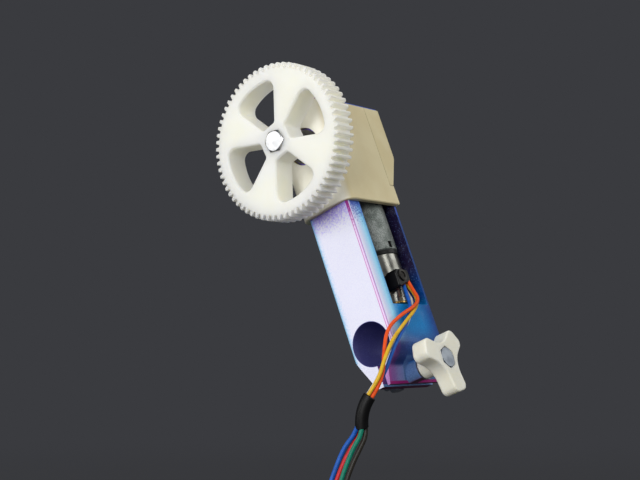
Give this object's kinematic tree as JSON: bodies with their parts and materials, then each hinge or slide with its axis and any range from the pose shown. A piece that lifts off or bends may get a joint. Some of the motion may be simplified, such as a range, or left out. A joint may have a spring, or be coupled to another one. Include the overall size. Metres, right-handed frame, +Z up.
{
  "type": "follow focus unit",
  "caption": "Motor-driven follow focus unit: a leaning arm clamps to a camera rod, and a gear motor inside it turns a large spur gear through a bevel pair.",
  "frame": {"origin": "on the clamped rod's axis, at the middle of the rod clamp", "axes": "+Y along the rod from the drive gear's side towards the gearbox's rear cover, +X towards the clamp knob, +Z up; the arm leans from +Z towards -X"},
  "size_m": [0.0807, 0.0602, 0.1909],
  "materials": {
    "colour_shift_plastic": "3-D printed colour-shift plastic, cyan to violet to magenta, fine metallic speckle",
    "ivory_plastic": "3-D printed ivory plastic, satin",
    "zinc_steel": "bright zinc-plated steel",
    "bearing_steel": "ground steel",
    "spacer_aluminium": "turned aluminium",
    "gear_brass": "machined brass",
    "gearbox_metal": "dark nickel-plated steel",
    "can_steel": "nickel-plated steel",
    "black_plastic": "moulded black plastic",
    "sleeve_black": "black heat-shrink tube",
    "insulation_orange": "orange silicone insulation",
    "insulation_yellow": "yellow silicone insulation",
    "insulation_blue": "blue insulation",
    "insulation_white": "white insulation",
    "insulation_red": "red insulation",
    "insulation_green": "green insulation",
    "insulation_black": "black insulation"
  },
  "bodies": {
    "frame": {"arm_body": "colour_shift_plastic", "gearbox_front_cap": "ivory_plastic", "gearbox_rear_cover": "ivory_plastic", "rear_cover_screws": "zinc_steel", "cap_side_screws": "zinc_steel", "clamp_nut": "zinc_steel", "motor_mount_screws": "zinc_steel", "front_bearing_outer_race": "bearing_steel", "front_bearing_balls": "bearing_steel", "rear_bearing_outer_race": "bearing_steel", "rear_bearing_balls": "bearing_steel", "motor_end_ring": "gear_brass", "connector_contacts": "gear_brass", "motor_gearbox": "gearbox_metal", "motor_can": "can_steel", "motor_tail": "can_steel", "terminal_post": "can_steel", "motor_band": "black_plastic", "terminal_block": "black_plastic", "lead_connector": "black_plastic", "splice_sleeve": "sleeve_black", "lead_orange": "insulation_orange", "lead_blue": "insulation_blue", "lead_yellow": "insulation_yellow", "lead_white": "insulation_white", "cable_blue": "insulation_blue", "cable_red": "insulation_red", "cable_green": "insulation_green", "cable_black": "insulation_black"},
    "spindle": {"drive_gear": "ivory_plastic", "spindle_screw": "zinc_steel", "gear_nut": "zinc_steel", "spindle_washer": "zinc_steel", "spindle_spacers": "spacer_aluminium", "spindle_thin_nut": "zinc_steel", "front_bearing_inner_race": "bearing_steel", "rear_bearing_inner_race": "bearing_steel", "bevel_wheel": "gear_brass", "bevel_wheel_set_screw": "bearing_steel"},
    "motor_output": {"motor_output_shaft": "bearing_steel", "bevel_pinion": "gear_brass", "bevel_pinion_set_screw": "bearing_steel"},
    "clamp_carriage": {"clamp_washer": "zinc_steel"},
    "clamp_turner": {"clamp_knob": "ivory_plastic", "clamp_screw": "zinc_steel"}
  },
  "joints": [
    {"name": "drive_gear_turn", "type": "hinge", "parent": "frame", "child": "spindle", "pos_m": [-0.02746, 0, 0.06882], "axis": [0, 1, 0], "continuous": true},
    {"name": "motor_output_turn", "type": "hinge", "parent": "frame", "child": "motor_output", "pos_m": [-0.02509, 0.0052, 0.06288], "axis": [-0.3706, 0, 0.9288], "continuous": true},
    {"name": "clamp_screw_travel", "type": "slide", "parent": "frame", "child": "clamp_carriage", "axis": [0.9288, 0, 0.3706], "range_m": [0, 0.00211]},
    {"name": "clamp_knob_turn", "type": "hinge", "parent": "clamp_carriage", "child": "clamp_turner", "pos_m": [0.01555, -0.0012, -0.00661], "axis": [0.9288, 0, 0.3706], "range_deg": [0, 1080]}
  ],
  "couplings": [
    {"joint": "motor_output_turn", "follows": "drive_gear_turn", "ratio": -1},
    {"joint": "clamp_screw_travel", "follows": "clamp_knob_turn", "m_per_rad": 0.00011141}
  ]
}
